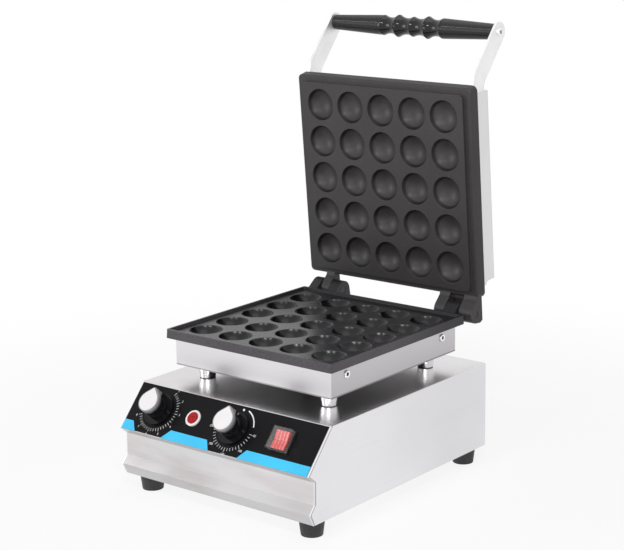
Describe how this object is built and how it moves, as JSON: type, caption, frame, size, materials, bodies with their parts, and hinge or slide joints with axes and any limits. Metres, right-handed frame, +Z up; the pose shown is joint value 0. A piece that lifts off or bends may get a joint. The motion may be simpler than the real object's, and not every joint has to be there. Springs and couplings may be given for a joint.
{
  "type": "bubble waffle maker",
  "caption": "Countertop bubble waffle maker: hinged lid and lower plate with rounded cups, steel box on posts over a sloped control base, two knobs, lamp, rocker switch and a turned grip.",
  "frame": {"origin": "on the floor under the feet, midway between the left and right sides and between the front of the knobs and the back of the grip with the lid open", "axes": "+Z up, +X to the right seen from the front, +Y from the control panel to the back"},
  "size_m": [0.3, 0.4334, 0.5617],
  "materials": {
    "base_steel": "brushed",
    "plain_steel": "satin",
    "foot_rubber": "matte",
    "post_chrome": "polished",
    "plate_coating": "satin non-stick coating",
    "lid_coating": "satin non-stick coating",
    "arm_aluminium": "satin",
    "grip_plastic": "glossy",
    "overlay_print": "satin print",
    "knob_plastic": "glossy",
    "inlay_pale": "satin",
    "lamp_white": "glossy",
    "lens_red": "clear red",
    "switch_black": "glossy",
    "rocker_red": "glossy",
    "cover_clear": "clear flexible plastic",
    "part_black": "matte",
    "element_steel": "oxidised"
  },
  "bodies": {
    "base": {"base_shell": "base_steel", "side_panel_left": "base_steel", "side_panel_right": "base_steel", "back_panel": "base_steel", "bottom_plate": "plain_steel", "foot_front_left": "foot_rubber", "foot_front_right": "foot_rubber", "foot_back_left": "foot_rubber", "foot_back_right": "foot_rubber", "support_posts": "post_chrome", "lower_housing": "base_steel", "lower_plate": "plate_coating", "lower_heater": "element_steel", "hinge_pin_left": "plain_steel", "hinge_pin_right": "plain_steel", "control_overlay": "overlay_print", "timer_body": "part_black", "thermostat_body": "part_black", "lamp_bezel": "lamp_white", "lamp_lens": "lens_red", "switch_frame": "switch_black", "switch_cover": "cover_clear", "cable_gland": "part_black", "terminal_block": "part_black"},
    "lid": {"lid_plate": "lid_coating", "lid_shell": "base_steel", "lid_heater": "element_steel", "handle_arm_left": "arm_aluminium", "handle_arm_right": "arm_aluminium", "handle_grip": "grip_plastic", "handle_rod": "plain_steel"},
    "timer_control": {"timer_knob": "knob_plastic", "timer_inlay": "inlay_pale", "timer_spindle": "plain_steel"},
    "thermostat_control": {"thermostat_knob": "knob_plastic", "thermostat_inlay": "inlay_pale", "thermostat_spindle": "plain_steel"},
    "rocker": {"switch_rocker": "rocker_red"}
  },
  "joints": [
    {"name": "lid_hinge", "type": "hinge", "parent": "base", "child": "lid", "pos_m": [0, 0.14792, 0.19415], "axis": [1, 0, 0], "range_deg": [0, 85.5]},
    {"name": "timer_turn", "type": "hinge", "parent": "base", "child": "timer_control", "pos_m": [-0.1025, -0.18825, 0.10854], "axis": [0, 0.7471, -0.6647], "range_deg": [0, 300]},
    {"name": "thermostat_turn", "type": "hinge", "parent": "base", "child": "thermostat_control", "pos_m": [0.019, -0.18825, 0.10854], "axis": [0, 0.7471, -0.6647], "range_deg": [0, 300]},
    {"name": "rocker_tip", "type": "hinge", "parent": "base", "child": "rocker", "pos_m": [0.0944, -0.18833, 0.10861], "axis": [-1, 0, 0], "range_deg": [0, 14]}
  ]
}
